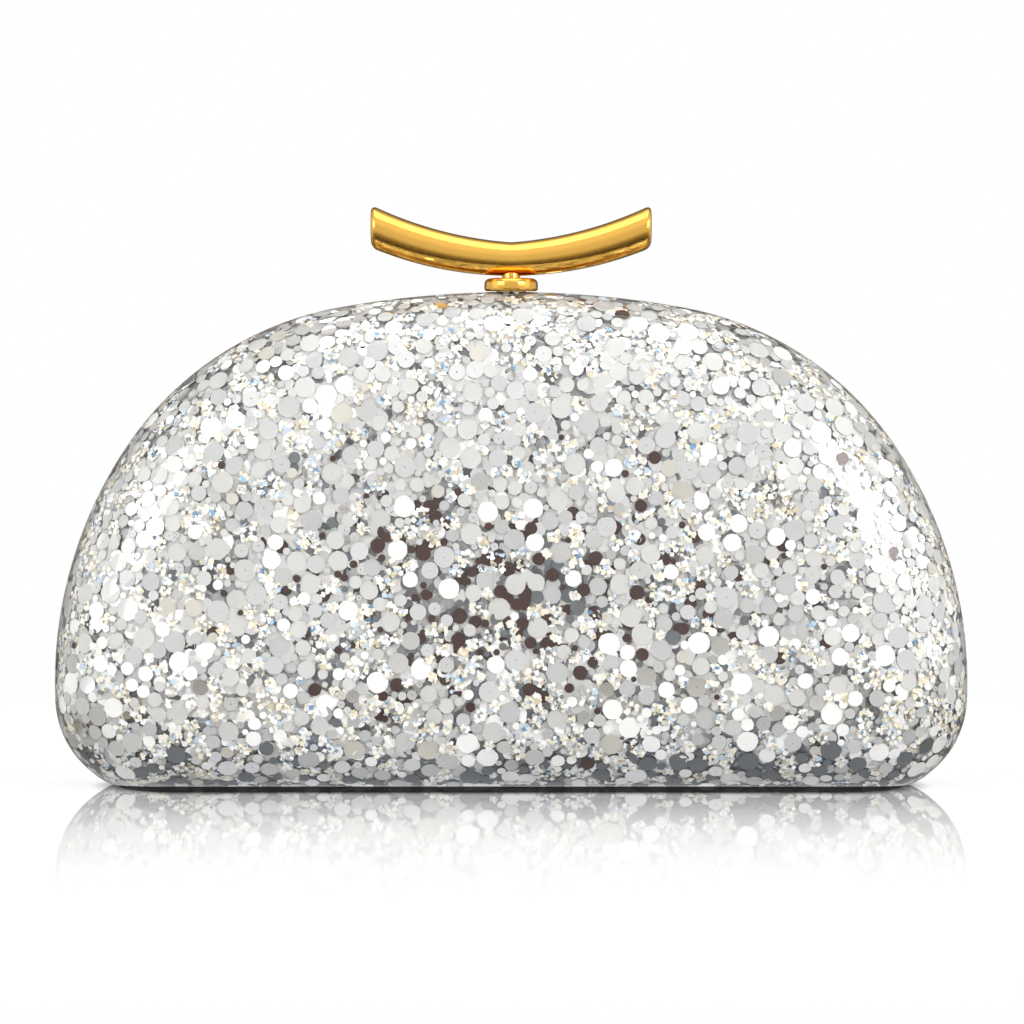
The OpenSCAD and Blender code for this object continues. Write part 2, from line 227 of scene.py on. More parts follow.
# --------------------------------------------------------------------------- materials

def material_tree(name):
    """A new node material: its data, node tree and shader."""
    material = bpy.data.materials.new(name)
    material.use_nodes = True
    tree = material.node_tree
    return material, tree, tree.nodes["Principled BSDF"]


def node(tree, kind, links=None, stops=(), **settings):
    """Adds a node with its settings; links maps an input's name or number to an output or a value.

    stops are a colour ramp's (place, hex colour) pairs, its two ends first.
    """
    made = tree.nodes.new(kind)
    for key, value in settings.items():
        setattr(made, key, value)
    for key, value in (links or {}).items():
        if isinstance(value, bpy.types.NodeSocket):
            tree.links.new(value, made.inputs[key])
        else:
            made.inputs[key].default_value = value
    for number, (place, colour) in enumerate(stops):
        band = made.color_ramp.elements
        stop = band[number] if number < len(band) else band.new(place)
        stop.position, stop.color = place, linear(colour)
    return made


def shader_values(shader, **values):
    """Sets the shader's own sockets: a name's underscores stand for spaces."""
    for key, value in values.items():
        shader.inputs[key.replace("_", " ")].default_value = value


def per_metre(size):
    """Texture scale at which one feature is size across."""
    return 1 / size


def clear_resin():
    """Clear casting resin, poured and polished: glassy and deep, with the slightest wave in its gloss."""
    material, tree, shader = material_tree("clear_casting_resin")
    shader_values(shader, Base_Color=linear("#FCFCFB"), Roughness=0.015, IOR=1.49,
                  Transmission_Weight=1.0)
    place = node(tree, "ShaderNodeTexCoord").outputs["Object"]
    wave = node(tree, "ShaderNodeTexNoise", {"Vector": place, "Scale": per_metre(14 * MM), "Detail": 1.0})
    bump = node(tree, "ShaderNodeBump", {"Height": wave.outputs["Fac"], "Strength": 0.25,
                                         "Distance": 0.12 * MM})
    tree.links.new(bump.outputs["Normal"], shader.inputs["Normal"])
    # Lamps reach the glitter through the resin, as they do through the real one.
    path = node(tree, "ShaderNodeLightPath")
    clear = node(tree, "ShaderNodeBsdfTransparent")
    mix = node(tree, "ShaderNodeMixShader", {0: path.outputs["Is Shadow Ray"],
                                             1: shader.outputs["BSDF"], 2: clear.outputs["BSDF"]})
    tree.links.new(mix.outputs["Shader"], tree.nodes["Material Output"].inputs["Surface"])
    return material


def glitter_bed():
    """The lowest glitter in the resin: dim overlapping foils and the dark slits between them."""
    material, tree, shader = material_tree("glitter_bed")
    place = node(tree, "ShaderNodeTexCoord").outputs["Object"]
    foils = node(tree, "ShaderNodeTexVoronoi", {"Vector": place, "Scale": per_metre(2.6 * MM)})
    edges = node(tree, "ShaderNodeTexVoronoi", {"Vector": place, "Scale": per_metre(2.6 * MM)},
                 feature="DISTANCE_TO_EDGE")
    crumbs = node(tree, "ShaderNodeTexVoronoi", {"Vector": place, "Scale": per_metre(0.7 * MM)})
    shade = node(tree, "ShaderNodeSeparateColor", {"Color": foils.outputs["Color"]})
    grain = node(tree, "ShaderNodeSeparateColor", {"Color": crumbs.outputs["Color"]})
    foil_shade = node(tree, "ShaderNodeValToRGB", {"Fac": shade.outputs["Red"]},
                      [(0.0, "#54565A"), (1.0, "#DAD9D4"), (0.35, "#86888B"), (0.7, "#B2B3B4")])
    crumb_shade = node(tree, "ShaderNodeValToRGB", {"Fac": grain.outputs["Green"]},
                       [(0.0, "#4A4C50"), (1.0, "#A8BFDA"), (0.5, "#8E8F90"), (0.85, "#D2CBB6")])
    slit = node(tree, "ShaderNodeMapRange", {"Value": edges.outputs["Distance"], "From Max": 0.09})
    mix = node(tree, "ShaderNodeMix", {"Factor": slit.outputs["Result"], 6: crumb_shade.outputs["Color"],
                                       7: foil_shade.outputs["Color"]}, data_type="RGBA")
    tree.links.new(mix.outputs[2], shader.inputs["Base Color"])
    shader_values(shader, Metallic=0.6, Roughness=0.35)
    bump = node(tree, "ShaderNodeBump", {"Height": edges.outputs["Distance"], "Strength": 0.6,
                                         "Distance": 0.3 * MM})
    tree.links.new(bump.outputs["Normal"], shader.inputs["Normal"])
    return material


def foil(name, colour, metallic, roughness):
    """Glitter foil: metallised film punched into flakes, each of one even shade."""
    material, _, shader = material_tree(name)
    shader_values(shader, Base_Color=linear(colour), Metallic=metallic, Roughness=roughness)
    return material


def disc_foils():
    """The round flakes' foils, each with its share: matt ones of even grey, and mirrors."""
    return [
        (foil("satin_silver_foil", "#D2D2D0", 0.35, 0.5), 0.38),  # even light grey, the most common
        (foil("satin_grey_foil", "#C3C4C4", 0.35, 0.5), 0.18),  # a shade darker, so that discs tell apart
        (foil("mirror_silver_foil", "#F2F2F2", 1.0, 0.08), 0.22),  # flashes white or dark as it leans
        (foil("pearl_white_film", "#FAFAF8", 0.1, 0.35), 0.13),  # plain white from any side
        (foil("warm_silver_foil", "#D0CCC2", 0.4, 0.4), 0.02),  # a rare cream tinge
        (foil("smoky_brown_foil", "#402823", 0.3, 0.35), 0.0),  # the painted dark reflection of the camera, low on the front
        (foil("slate_foil", "#6C7074", 0.4, 0.35), 0.0),  # blue-grey discs, crowded round the base as a painted reflection of the table's shade
    ]


def crumb_foils():
    """The fine broken flakes' foils, each with its share."""
    return [
        (foil("white_crumb_film", "#FFFFFD", 0.1, 0.3), 0.40),  # clusters read as white stars
        (foil("cream_crumb_film", "#F8F0DC", 0.1, 0.3), 0.26),  # warms the clusters
        (foil("silver_crumb_foil", "#E6E8EA", 0.9, 0.15), 0.13),  # sparkle
        (foil("champagne_crumb_foil", "#DDCFB0", 0.3, 0.3), 0.06),  # gold-tinged edges
        (foil("pale_blue_crumb_foil", "#C9DDF0", 0.3, 0.25), 0.08),  # cool glints
        (foil("blue_crumb_foil", "#7BA6CC", 0.4, 0.25), 0.02),  # a few clear blue glints
        (foil("grey_crumb_foil", "#8A8A88", 0.5, 0.3), 0.05),  # gaps in a cluster, and the painted reflection of the mirrors' dimples
    ]


def polished_gold(name, colour, roughness):
    """Gold-plated zinc, polished then plated: a warm mirror with faint rub marks from the mop."""
    material, tree, shader = material_tree(name)
    place = node(tree, "ShaderNodeTexCoord").outputs["Object"]
    shader_values(shader, Metallic=1.0)
    cloud = node(tree, "ShaderNodeTexNoise", {"Vector": place, "Scale": per_metre(9 * MM), "Detail": 3.0})
    tint = node(tree, "ShaderNodeMix", {"Factor": cloud.outputs["Fac"], 6: (*colour, 1.0),
                                        7: (*(c * 0.92 for c in colour), 1.0)}, data_type="RGBA")
    tree.links.new(tint.outputs[2], shader.inputs["Base Color"])
    rub = node(tree, "ShaderNodeTexNoise", {"Vector": place, "Scale": per_metre(1.2 * MM), "Detail": 6.0})
    gloss = node(tree, "ShaderNodeMapRange", {"Value": rub.outputs["Fac"], "From Min": 0.3, "From Max": 0.7,
                                              "To Min": roughness * 0.7, "To Max": roughness * 1.4})
    tree.links.new(gloss.outputs["Result"], shader.inputs["Roughness"])
    bump = node(tree, "ShaderNodeBump", {"Height": cloud.outputs["Fac"], "Strength": 0.15,
                                         "Distance": 0.05 * MM})
    tree.links.new(bump.outputs["Normal"], shader.inputs["Normal"])
    return material


def turned_metal(name, hex_code, roughness, stretch):
    """Turned, rolled or pressed metal: fine tool lines along one direction."""
    material, tree, shader = material_tree(name)
    place = node(tree, "ShaderNodeTexCoord").outputs["Object"]
    drawn = node(tree, "ShaderNodeMapping", {"Vector": place, "Scale": stretch})
    lines = node(tree, "ShaderNodeTexNoise", {"Vector": drawn.outputs["Vector"],
                                              "Scale": per_metre(0.4 * MM), "Detail": 4.0})
    base = linear(hex_code)
    tint = node(tree, "ShaderNodeMix", {"Factor": lines.outputs["Fac"], 6: base,
                                        7: tuple(c * 0.8 for c in base[:3]) + (1.0,)}, data_type="RGBA")
    tree.links.new(tint.outputs[2], shader.inputs["Base Color"])
    gloss = node(tree, "ShaderNodeMapRange", {"Value": lines.outputs["Fac"], "From Min": 0.3,
                                              "From Max": 0.7, "To Min": roughness * 0.8,
                                              "To Max": roughness * 1.3})
    tree.links.new(gloss.outputs["Result"], shader.inputs["Roughness"])
    bump = node(tree, "ShaderNodeBump", {"Height": lines.outputs["Fac"], "Strength": 0.3,
                                         "Distance": 0.02 * MM})
    tree.links.new(bump.outputs["Normal"], shader.inputs["Normal"])
    shader_values(shader, Metallic=1.0)
    return material


def satin_lining():
    """Champagne satin glued over card: close warp threads and a soft sheen. Threads are drawn coarse."""
    material, tree, shader = material_tree("champagne_satin")
    place = node(tree, "ShaderNodeTexCoord").outputs["Object"]
    thread = per_metre(2 * math.pi * 0.35 * MM)
    warp = node(tree, "ShaderNodeTexWave", {"Vector": place, "Scale": thread, "Distortion": 0.6,
                                            "Detail": 1.0}, bands_direction="X")
    weft = node(tree, "ShaderNodeTexWave", {"Vector": place, "Scale": thread * 0.5, "Distortion": 0.6,
                                            "Detail": 1.0}, bands_direction="Z")
    both = node(tree, "ShaderNodeMath", {0: warp.outputs["Fac"], 1: weft.outputs["Fac"]},
                operation="MULTIPLY")
    cloud = node(tree, "ShaderNodeTexNoise", {"Vector": place, "Scale": per_metre(30 * MM), "Detail": 3.0})
    mixed = node(tree, "ShaderNodeMath", {0: both.outputs["Value"], 1: cloud.outputs["Fac"], 2: 0.1},
                 operation="MULTIPLY_ADD")
    colour = node(tree, "ShaderNodeValToRGB", {"Fac": mixed.outputs["Value"]},
                  [(0.0, "#C6B79D"), (0.7, "#DBCEB7"), (0.35, "#D0C2AA")])
    tree.links.new(colour.outputs["Color"], shader.inputs["Base Color"])
    shader_values(shader, Roughness=0.42, Sheen_Weight=0.5, Sheen_Roughness=0.35)
    bump = node(tree, "ShaderNodeBump", {"Height": both.outputs["Value"], "Strength": 0.2,
                                         "Distance": 0.04 * MM})
    tree.links.new(bump.outputs["Normal"], shader.inputs["Normal"])
    return material


# --------------------------------------------------------------------------- glitter

def scatter(rng, grid, count):
    """Even random places on a grid of rings: (places, outward normals)."""
    here, along = grid[:-1], np.roll(grid[:-1], -1, 1)
    deeper, across = grid[1:], np.roll(grid[1:], -1, 1)
    u, v = along - here, deeper - here
    cross = np.cross(u, v)
    area = np.linalg.norm(cross, axis=2)
    chance = (area / area.sum()).ravel()
    picks = rng.choice(chance.size, count, p=chance)
    a, b = rng.random((2, count, 1))
    flat = [g.reshape(-1, 3)[picks] for g in (here, along, deeper, across)]
    places = (flat[0] * (1 - a) + flat[1] * a) * (1 - b) + (flat[2] * (1 - a) + flat[3] * a) * b
    normals = cross.reshape(-1, 3)[picks]
    return places, normals / np.linalg.norm(normals, axis=1, keepdims=True)


def keep_apart(places, radii, factor):
    """Numbers of the places that stay clear of each other by factor of their radii, tried in order."""
    cell = 2 * radii.max()
    boxes, kept = {}, []
    for n, (p, r) in enumerate(zip(places, radii)):
        key = tuple(int(c // cell) for c in p)
        near = (boxes.get((key[0] + i, key[1] + j, key[2] + k), ())
                for i in (-1, 0, 1) for j in (-1, 0, 1) for k in (-1, 0, 1))
        if all((p[0] - q[0]) ** 2 + (p[1] - q[1]) ** 2 + (p[2] - q[2]) ** 2 > (factor * (r + q[3])) ** 2
               for some in near for q in some):
            boxes.setdefault(key, []).append((p[0], p[1], p[2], r))
            kept.append(n)
    return np.array(kept, int)


def foil_choice(rng, half, places, radii, finishes):
    """Each flake's foil. Small dark flakes paint the camera's dark reflection low on the front face, slate
    ones paint the table's shade reflected round the base, and extra white ones paint light low down.
    """
    choice = chosen(rng, finishes[:BROWN], len(places))
    # painted reflection: small dark flakes crowd where the camera mirrors in the front face
    dark_reflection = np.exp(-((places[:, 0] - DARK_REFLECTION_X) / DARK_REFLECTION_HALF_WIDTH) ** 2
                  - ((places[:, 2] - DARK_REFLECTION_Z) / DARK_REFLECTION_HALF_HEIGHT) ** 2)
    luck, kind = rng.random((2, len(places)))
    small = radii < DARK_REFLECTION_LARGEST
    share = np.where(small, STRAY_SHARE + (DARK_REFLECTION_SHARE * dark_reflection if half == "front" else 0.0), 0.0)
    choice = np.where(luck < share, np.where(kind < BROWN_SHARE, BROWN, SLATE), choice)
    # painted light: more white discs towards the bottom
    low = np.clip((LOW_LIGHT_TOP - places[:, 2]) / LOW_LIGHT_FADE, 0, 1)
    choice = np.where((kind > 1 - LOW_LIGHT_SHARE * low) & (luck >= share), PEARL, choice)
    # painted reflection of the table's shade: slate flakes towards the base
    base_reflection = np.clip((BASE_REFLECTION_TOP - places[:, 2]) / BASE_REFLECTION_FADE, 0, 1)
    return np.where(luck > 1 - BASE_REFLECTION_SHARE * base_reflection, SLATE, choice)


def tilted(rng, normals, spread):
    """Normals leant over by a random angle of about spread radians, with a random direction across each."""
    side = rng.normal(size=normals.shape)
    side -= normals * (side * normals).sum(1, keepdims=True)
    side /= np.linalg.norm(side, axis=1, keepdims=True)
    lean = np.clip(rng.normal(size=(len(normals), 1)), -2, 2) * spread
    up = normals * np.cos(lean) + side * np.sin(lean)
    across = np.cross(up, rng.normal(size=up.shape))
    across /= np.linalg.norm(across, axis=1, keepdims=True)
    return up, across


def flakes(name, side, centres, up, across, rim, thickness, finishes, choice):
    """One piece of many thin closed flakes. rim is each flake's radius at each corner."""
    count, sides = rim.shape
    other = np.cross(up, across)
    turn = np.arange(sides) * 2 * math.pi / sides
    spokes = (across[:, None] * np.cos(turn)[None, :, None] + other[:, None] * np.sin(turn)[None, :, None])
    top = centres[:, None] + spokes * rim[:, :, None]
    low = top - (up * thickness)[:, None]
    vertices = np.concatenate([top, low], 1).reshape(-1, 3) * np.array([1, side, 1])
    base = (np.arange(count) * 2 * sides)[:, None]
    ring = np.arange(sides)[None]
    tops, lows = base + ring, base + sides + ring[:, ::-1]
    nxt = (ring + 1) % sides
    walls = np.stack([base + ring, base + sides + ring, base + sides + nxt, base + nxt], 2).reshape(-1, 4)
    faces = tops.tolist() + lows.tolist() + walls.tolist()
    if side < 0:
        faces = [f[::-1] for f in faces]
    piece = new_piece(name, vertices, faces, finishes[0][0], smooth=False)
    for material, _ in finishes[1:]:
        piece.data.materials.append(material)
    slots = np.concatenate([choice, choice, np.repeat(choice, sides)])
    piece.data.polygons.foreach_set("material_index", slots.astype(np.int32))
    return piece


def chosen(rng, finishes, count):
    """Numbers of finishes picked by their shares."""
    shares = np.array([share for _, share in finishes])
    return rng.choice(len(finishes), count, p=shares / shares.sum())


def inside_half(places, up, reach):
    """Which flakes stay on their own side of the seam, the hinge's groove and the bushing."""
    across_seam = reach * np.sqrt(1 - up[:, 1] ** 2)
    free = places[:, 1] - across_seam > SEAM_Y + HAIR
    by_groove = (places[:, 2] < GROOVE_TOP + 2 * MM) & (places[:, 1] - across_seam < GROOVE_Y + HAIR)
    by_bushing = (np.hypot(places[:, 0], places[:, 1]) - reach < BUSHING_ROOM) & (places[:, 2] > 90 * MM)
    return free & ~by_groove & ~by_bushing


def buried(places, normals, up, radii, skin):
    """Centres sunk far enough that a flat flake stays skin deep in the curved resin."""
    lean = np.sqrt(np.maximum(0, 1 - (up * normals).sum(1) ** 2))
    depth = skin + radii * lean + radii ** 2 / (2 * TIGHTEST_BULGE)
    return places - normals * depth[:, None]


def round_flakes(half, rng, grid, finish, finishes):
    """The round flakes of one half, near the surface and lower down.

    Gives the two pieces, the free spots for crumbs and the mirrors' middles.
    """
    side = HALVES[half]
    first, filling, fine = 5000, 15000, 16000  # from the widest down, then in between, then small ones
    tries = first + filling + fine
    places, normals = scatter(rng, grid, tries)
    radii = rng.choice(DISC_WIDTHS, tries, p=DISC_SHARES) / 2 * rng.uniform(0.94, 1.06, tries)
    radii[first + filling:] = rng.uniform(0.65, 1.05, fine) * MM
    order = np.concatenate([np.argsort(-radii[:first]), np.arange(first, tries)])
    places, normals, radii = places[order], normals[order], radii[order]
    top = keep_apart(places, radii, CROWDING)
    broken = rng.random(len(top)) < finish.broken_share
    spots = (places[top[broken]], normals[top[broken]], radii[top[broken]])
    rest = np.setdiff1d(np.arange(first + filling), top)
    thinned = rng.random(tries) > np.clip(places[:, 1] / SEAM_THIN, SEAM_SHARE, 1)
    broken |= thinned[top]  # the resin is nearly clear beside the seam
    rest = rest[~thinned[rest]]
    # each layer's flakes, their least and greatest depth in mm, and their number of corners
    layers = [(top[~broken], 0.75, 0.95, 12, "upper"),
              (rest[:finish.under_discs], 1.25, 1.5, 10, "lower")]
    pieces = []
    for chosen_ones, shallow, deep, sides, layer in layers:
        here, out, reach = places[chosen_ones], normals[chosen_ones], radii[chosen_ones]
        choice = foil_choice(rng, half, here, reach, finishes)
        up, across = tilted(rng, out, math.radians(finish.disc_lean))
        free = inside_half(here, up, reach)
        here, out, reach, up, across, choice = (v[free] for v in (here, out, reach, up, across, choice))
        centres = buried(here, out, up, reach, rng.uniform(shallow, deep, len(here)) * MM)
        rim = reach[:, None] * rng.uniform(0.965, 1.035, (len(reach), sides))
        pieces.append(flakes(f"{half}_{layer}_round_flakes", side, centres, up, across, rim,
                             DISC_THICKNESS, finishes, choice))
        if layer == "upper":
            dimpled = (choice == MIRROR) & (rng.random(len(choice)) < DIMPLED_SHARE)
            pips = (centres[dimpled], up[dimpled])
    return pieces, spots, pips


def broken_flakes(half, rng, spots, pips, finishes):
    """Crumbs of broken flakes crowded into each free spot, and a grey pip in the middle of the mirrors that
    paints a dimple's reflection.
    """
    side = HALVES[half]
    middles, normals, reach = spots
    turn = rng.random((len(middles), CRUMBS_EACH)) * 2 * math.pi
    out = np.sqrt(rng.random((len(middles), CRUMBS_EACH))) * reach[:, None]
    lean_x = np.cross(normals, rng.normal(size=normals.shape))
    lean_x /= np.linalg.norm(lean_x, axis=1, keepdims=True)
    lean_y = np.cross(normals, lean_x)
    places = (middles[:, None] + lean_x[:, None] * (out * np.cos(turn))[..., None]
              + lean_y[:, None] * (out * np.sin(turn))[..., None]).reshape(-1, 3)
    normals = np.repeat(normals, CRUMBS_EACH, 0)
    up, across = tilted(rng, normals, CRUMB_LEAN)
    radii = rng.uniform(0.42, 0.84, len(places)) * MM
    free = inside_half(places, up, radii) & (places[:, 2] > 0.4 * MM)
    places, normals, radii, up, across = (v[free] for v in (places, normals, radii, up, across))
    centres = buried(places, normals, up, radii, rng.uniform(0.65, 1.15, len(places)) * MM)
    choice = chosen(rng, finishes, len(places))
    pip_centres, pip_up = pips
    pip_across = np.cross(pip_up, rng.normal(size=pip_up.shape))
    pip_across /= np.linalg.norm(pip_across, axis=1, keepdims=True)
    centres = np.concatenate([centres, pip_centres + pip_up * 0.04 * MM])
    up, across = np.concatenate([up, pip_up]), np.concatenate([across, pip_across])
    radii = np.concatenate([radii, rng.uniform(0.13, 0.22, len(pip_up)) * MM])
    choice = np.concatenate([choice, np.full(len(pip_up), DIMPLE)])
    rim = radii[:, None] * rng.uniform(0.7, 1.25, (len(radii), 4))
    return flakes(f"{half}_broken_flakes", side, centres, up, across, rim, CRUMB_THICKNESS, finishes,
                  choice)


def glitter_half(half, sizes, finish, disc_finishes, crumb_finishes):
    """The round flakes and the broken crumbs of one half."""
    rng = np.random.default_rng(finish.seed + (0 if half == "front" else 1))
    grid = half_grid(sizes, 0.0, SEAM_Y, 40, 2 * MM, flat_rings=8)
    discs, spots, pips = round_flakes(half, rng, grid, finish, disc_finishes)
    return [*discs, broken_flakes(half, rng, spots, pips, crumb_finishes)]


# --------------------------------------------------------------------------- turned and cast metal

def lathe(name, profile, material, steps=128):
    """A solid turned about Z from a closed profile of (radius, height) points."""
    turn = np.arange(steps) * 2 * math.pi / steps
    vertices = [(r * math.cos(a), r * math.sin(a), z) for r, z in profile for a in turn]
    count = len(profile)
    faces = []
    for j in range(count):
        for i in range(steps):
            a, b = j * steps + i, j * steps + (i + 1) % steps
            c, d = (j + 1) % count * steps + (i + 1) % steps, (j + 1) % count * steps + i
            faces.append((a, b, c, d))
    piece = new_piece(name, vertices, faces, material)
    mesh = bmesh.new()
    mesh.from_mesh(piece.data)
    bmesh.ops.remove_doubles(mesh, verts=mesh.verts, dist=1e-7)
    bmesh.ops.dissolve_degenerate(mesh, dist=1e-7, edges=mesh.edges)
    bmesh.ops.recalc_face_normals(mesh, faces=mesh.faces)
    mesh.to_mesh(piece.data)
    mesh.free()
    piece.data.set_sharp_from_angle(angle=math.radians(40))
    return piece


def rounded(r, z, radius, start, end, steps=6):
    """Points of a rounded edge about (r, z), between two headings in degrees."""
    return [(r + radius * math.cos(math.radians(a)), z + radius * math.sin(math.radians(a)))
            for a in np.linspace(start, end, steps + 1)]


# --------------------------------------------------------------------------- settings

class ClutchSizes(bpy.types.PropertyGroup):
    """Sizes of the case and the turn bar"""

    case_width: FloatProperty(name="Case width", description="Across the widest part of the case",
                              default=210 * MM, min=0.2, max=0.22, unit="LENGTH")
    case_height: FloatProperty(name="Case height", description="From the table to the top of the case",
                               default=113.4 * MM, min=0.11, max=0.12, unit="LENGTH")
    case_depth: FloatProperty(name="Case depth", description="From the front face to the back face",
                              default=46 * MM, min=0.04, max=0.05, unit="LENGTH")
    bar_length: FloatProperty(name="Turn bar length",
                              description="From one end of the turn bar to the other",
                              default=64.6 * MM, min=0.06, max=0.07, unit="LENGTH")
    bar_thickness: FloatProperty(name="Turn bar thickness",
                                 description="Height of the bar's section at its middle",
                                 default=7.8 * MM, min=0.007, max=0.009, unit="LENGTH")


class ClutchFinish(bpy.types.PropertyGroup):
    """Colours and amounts of the finish"""

    gold: FloatVectorProperty(name="Gold", description="Colour of the polished gold plate",
                              default=linear("#F2BD5A")[:3], size=3, min=0, max=1, subtype="COLOR")
    under_discs: IntProperty(name="Lower discs",
                             description="Round flakes under the top layer, in each half",
                             default=3800, min=0, max=5000)
    broken_share: FloatProperty(name="Broken share",
                                description="Share of the top layer that is broken flakes",
                                default=0.34, min=0, max=1, subtype="FACTOR")
    disc_lean: FloatProperty(name="Disc lean", description="Usual lean of a round flake, in degrees",
                             default=3.0, min=0, max=12)
    seed: IntProperty(name="Seed", description="Which scatter of glitter is used", default=11, min=0)


def sizes_of(context):
    """The scene's clutch sizes."""
    return context.scene.clutch_sizes


def finish_of(context):
    """The scene's clutch finish."""
    return context.scene.clutch_finish


# --------------------------------------------------------------------------- operators

class CLUTCH_OT_resin(bpy.types.Operator):
    """Cast the clear resin of both halves over their beds of glitter"""

    bl_idname = "clutch.resin"
    bl_label = "Cast Resin"

    def execute(self, context):
        sizes = sizes_of(context)
        resin, bed = clear_resin(), glitter_bed()
        for half, side in HALVES.items():
            outer = make_room(half_grid(sizes, 0.0, SEAM_Y, 44, 1.6 * MM))
            inner = make_room(half_grid(sizes, RESIN_SKIN, SEAM_Y, 44, 1.6 * MM))
            skin = hollow_half(f"{half}_clear_resin", side, outer, inner, resin)
            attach(skin, half)
            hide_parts(f"{half}_shell")
            start = SEAM_Y + HAIR
            outer = make_room(half_grid(sizes, BED_TOP, start, 30, 2.4 * MM), HAIR)
            inner = make_room(half_grid(sizes, WALL, start, 30, 2.4 * MM), HAIR)
            backing = hollow_half(f"{half}_glitter_bed", side, outer, inner, bed)
            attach(backing, half)
        return {"FINISHED"}


class CLUTCH_OT_glitter(bpy.types.Operator):
    """Scatter the round flakes and the broken crumbs through the resin of both halves"""

    bl_idname = "clutch.glitter"
    bl_label = "Scatter Glitter"

    def execute(self, context):
        disc_finishes, crumb_finishes = disc_foils(), crumb_foils()
        for half in HALVES:
            for piece in glitter_half(half, sizes_of(context), finish_of(context), disc_finishes,
                                      crumb_finishes):
                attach(piece, half)
        return {"FINISHED"}


class CLUTCH_OT_linings(bpy.types.Operator):
    """Line both halves with satin"""

    bl_idname = "clutch.linings"
    bl_label = "Line Halves"

    def execute(self, context):
        sizes = sizes_of(context)
        satin = satin_lining()
        for half, side in HALVES.items():
            outer = half_grid(sizes, WALL + LINING_GAP, LINING_START, 30, 2 * MM)
            inner = half_grid(sizes, WALL + LINING_DEPTH, LINING_START, 30, 2 * MM)
            lining = hollow_half(f"{half}_satin_lining", side, outer, inner, satin)
            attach(lining, half)
            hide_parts(f"{half}_lining")
        return {"FINISHED"}


class CLUTCH_OT_turn_bar(bpy.types.Operator):
    """Cast the curved turn bar"""

    bl_idname = "clutch.turn_bar"
    bl_label = "Cast Turn Bar"

    def execute(self, context):
        sizes, finish = sizes_of(context), finish_of(context)
        low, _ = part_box("turn_bar")
        top_radius, bottom_radius, crease = 85.5 * MM, 83.5 * MM, 0.07
        end_depth = 8.9 * MM
        end_round = 1.4 * MM
        straight = sizes.bar_length / 2 - end_round
        sides = 96
        around = np.arange(sides) * 2 * math.pi / sides

        def section(x, scale):
            rise = math.hypot(x, CREASE_ROUND) - CREASE_ROUND
            top = low[2] + sizes.bar_thickness + crease * rise
            top += top_radius - math.sqrt(top_radius ** 2 - x * x)
            bottom = low[2] + bottom_radius - math.sqrt(bottom_radius ** 2 - x * x)
            deep = sizes.bar_thickness + (end_depth - sizes.bar_thickness) * abs(x) * 2 / sizes.bar_length
            middle, tall = (top + bottom) / 2, (top - bottom) * scale
            return [(x, deep / 2 * scale * math.cos(a), middle + tall / 2 * math.sin(a)) for a in around]

        tips = [(straight + end_round * math.sin(a), 1 - (1 - math.cos(a)) * end_round / (4.5 * MM))
                for a in np.radians(np.linspace(90, 0, 9))]
        rings = [section(-x, s) for x, s in tips]
        rings += [section(x, 1.0) for x in np.linspace(-straight, straight, 161)[1:-1]]
        rings += [section(x, s) for x, s in reversed(tips)]
        faces = [face[::-1] for face in grid_faces(len(rings), sides)]
        last = len(rings) * sides
        faces += [tuple(range(sides)), tuple(range(last - 1, last - sides - 1, -1))]
        gold = polished_gold("polished_gold_plate", finish.gold, 0.16)
        bar = new_piece("turn_bar_casting", [v for ring in rings for v in ring], faces, gold)
        mesh = bmesh.new()
        mesh.from_mesh(bar.data)
        bmesh.ops.recalc_face_normals(mesh, faces=mesh.faces)
        mesh.to_mesh(bar.data)
        mesh.free()
        bar.data.set_sharp_from_angle(angle=math.radians(50))
        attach(bar, "turn_bar")
        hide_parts("turn_bar")
        return {"FINISHED"}


class CLUTCH_OT_turnings(bpy.types.Operator):
    """Turn the round base and the stem"""

    bl_idname = "clutch.turnings"
    bl_label = "Turn Base and Stem"

    def execute(self, context):
        gold = polished_gold("gold_plated_turning", finish_of(context).gold, 0.14)
        low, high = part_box("clasp_base")
        radius, bore, wide_bore = high[0], 2.4 * MM, 3.45 * MM
        top, bottom = high[2], low[2]
        profile = [(bore, top)] + rounded(radius - 1.3 * MM, top - 1.3 * MM, 1.3 * MM, 90, 0, 14)
        profile += rounded(radius - 0.6 * MM, bottom + 0.6 * MM, 0.6 * MM, 0, -90, 8)
        profile += [(wide_bore, bottom), (wide_bore, bottom + 1.4 * MM), (bore, bottom + 1.4 * MM)]
        base = lathe("clasp_base_turning", profile, gold)
        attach(base, "back")
        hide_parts("clasp_base")
        low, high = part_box("stem")
        radius, shoulder = high[0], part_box("release_cam")[1][2] + 0.02 * MM
        neck = radius * 0.7
        profile = [(0, low[2])] + rounded(neck - 0.15 * MM, low[2] + 0.15 * MM, 0.15 * MM, -90, 0, 3)
        profile += [(neck, shoulder), (radius, shoulder)]
        profile += rounded(radius - 0.2 * MM, high[2] - 0.2 * MM, 0.2 * MM, 0, 90, 3) + [(0, high[2])]
        stem = lathe("stem_turning", profile, gold, 96)
        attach(stem, "turn_bar")
        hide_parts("stem")
        return {"FINISHED"}


